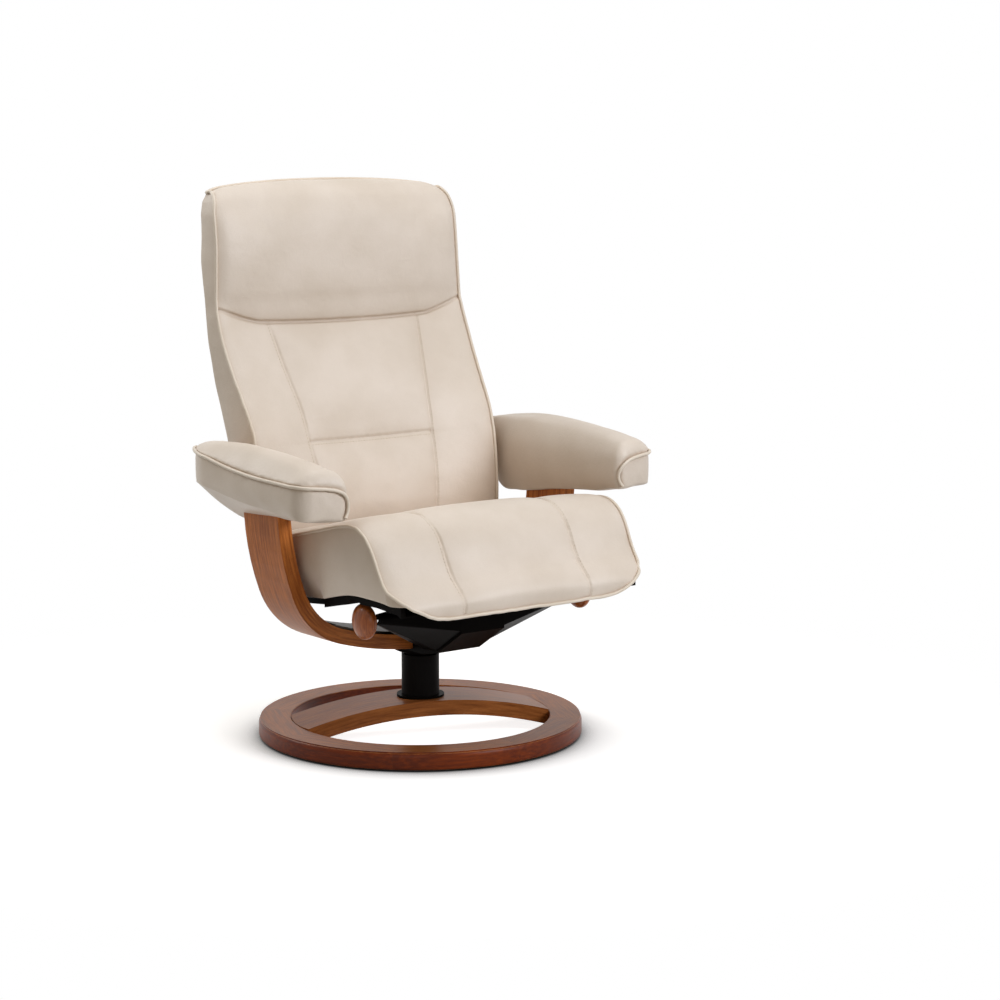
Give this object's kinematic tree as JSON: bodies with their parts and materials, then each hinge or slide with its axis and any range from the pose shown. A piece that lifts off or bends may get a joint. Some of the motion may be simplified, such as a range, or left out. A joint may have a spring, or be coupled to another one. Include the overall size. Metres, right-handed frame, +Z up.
{
  "type": "swivel recliner",
  "caption": "Swivel recliner with tufted-channel leather seat, back and headrest, padded arms on a bentwood hoop, and a wooden ring base with an arched crossbar.",
  "frame": {"origin": "on the floor under the swivel axis, at the centre of the base ring", "axes": "+Z up along the swivel axis; +X to the sitter's left; the chair faces -Y"},
  "size_m": [0.797, 0.6492, 1.0176],
  "materials": {
    "wood": "satin lacquer, medium brown",
    "ply": "raw",
    "black_steel": "gloss black paint",
    "black_plastic": "fine black grain",
    "grey_steel": "zinc grey",
    "bright_steel": "bright plated",
    "brass": "turned",
    "leather": "soft cream leather, satin",
    "felt": "felt",
    "webbing": "woven elastic"
  },
  "bodies": {
    "base": {"base_ring": "wood", "base_crossbar": "wood", "crossbar_dowels": "ply", "floor_glides": "felt", "column_flange": "black_steel", "column_bolts": "grey_steel", "column_post": "grey_steel", "column_sleeve": "black_plastic", "swivel_bearing": "bright_steel"},
    "chassis": {"swivel_hub": "black_steel", "tilt_housing": "black_steel", "hoop_frame": "wood", "hoop_plate": "grey_steel", "hoop_bolts": "bright_steel", "recline_pivots": "bright_steel", "tension_rod": "black_steel", "friction_washers": "bright_steel", "arm_board_left": "ply", "arm_board_right": "ply", "arm_bolts": "bright_steel", "arm_pad_left": "leather", "arm_pad_right": "leather"},
    "knob_left": {"tension_knob_left": "wood", "knob_insert_left": "brass"},
    "knob_right": {"tension_knob_right": "wood", "knob_insert_right": "brass"},
    "seat": {"seat_pan": "black_steel", "seat_frame": "black_steel", "seat_webbing": "webbing", "seat_bracket_left": "black_steel", "seat_bracket_right": "black_steel", "seat_cushion": "leather", "back_hinge_pins": "bright_steel"},
    "backrest": {"back_frame": "black_steel", "back_webbing": "webbing", "back_cushion": "leather", "back_shell": "leather", "headrest_pins": "bright_steel"},
    "headrest": {"headrest_frame": "black_steel", "headrest_cushion": "leather", "headrest_shell": "leather"}
  },
  "joints": [
    {"name": "swivel", "type": "hinge", "parent": "base", "child": "chassis", "pos_m": [0, 0, 0.15], "axis": [0, 0, 1], "continuous": true},
    {"name": "recline", "type": "hinge", "parent": "chassis", "child": "seat", "pos_m": [0, -0.06, 0.262], "axis": [-1, 0, 0], "range_deg": [0, 10]},
    {"name": "back_tilt", "type": "hinge", "parent": "seat", "child": "backrest", "pos_m": [0, 0.14, 0.266], "axis": [-1, 0, 0], "range_deg": [0, 15]},
    {"name": "headrest_tilt", "type": "hinge", "parent": "backrest", "child": "headrest", "pos_m": [0, 0.2665, 0.77], "axis": [1, 0, 0], "range_deg": [0, 15]},
    {"name": "knob_left_turn", "type": "hinge", "parent": "chassis", "child": "knob_left", "pos_m": [0.24, -0.169, 0.265], "axis": [1, 0, 0], "continuous": true},
    {"name": "knob_right_turn", "type": "hinge", "parent": "chassis", "child": "knob_right", "pos_m": [-0.24, -0.169, 0.265], "axis": [1, 0, 0], "continuous": true}
  ],
  "couplings": [
    {"joint": "back_tilt", "follows": "recline", "ratio": 1.5}
  ]
}
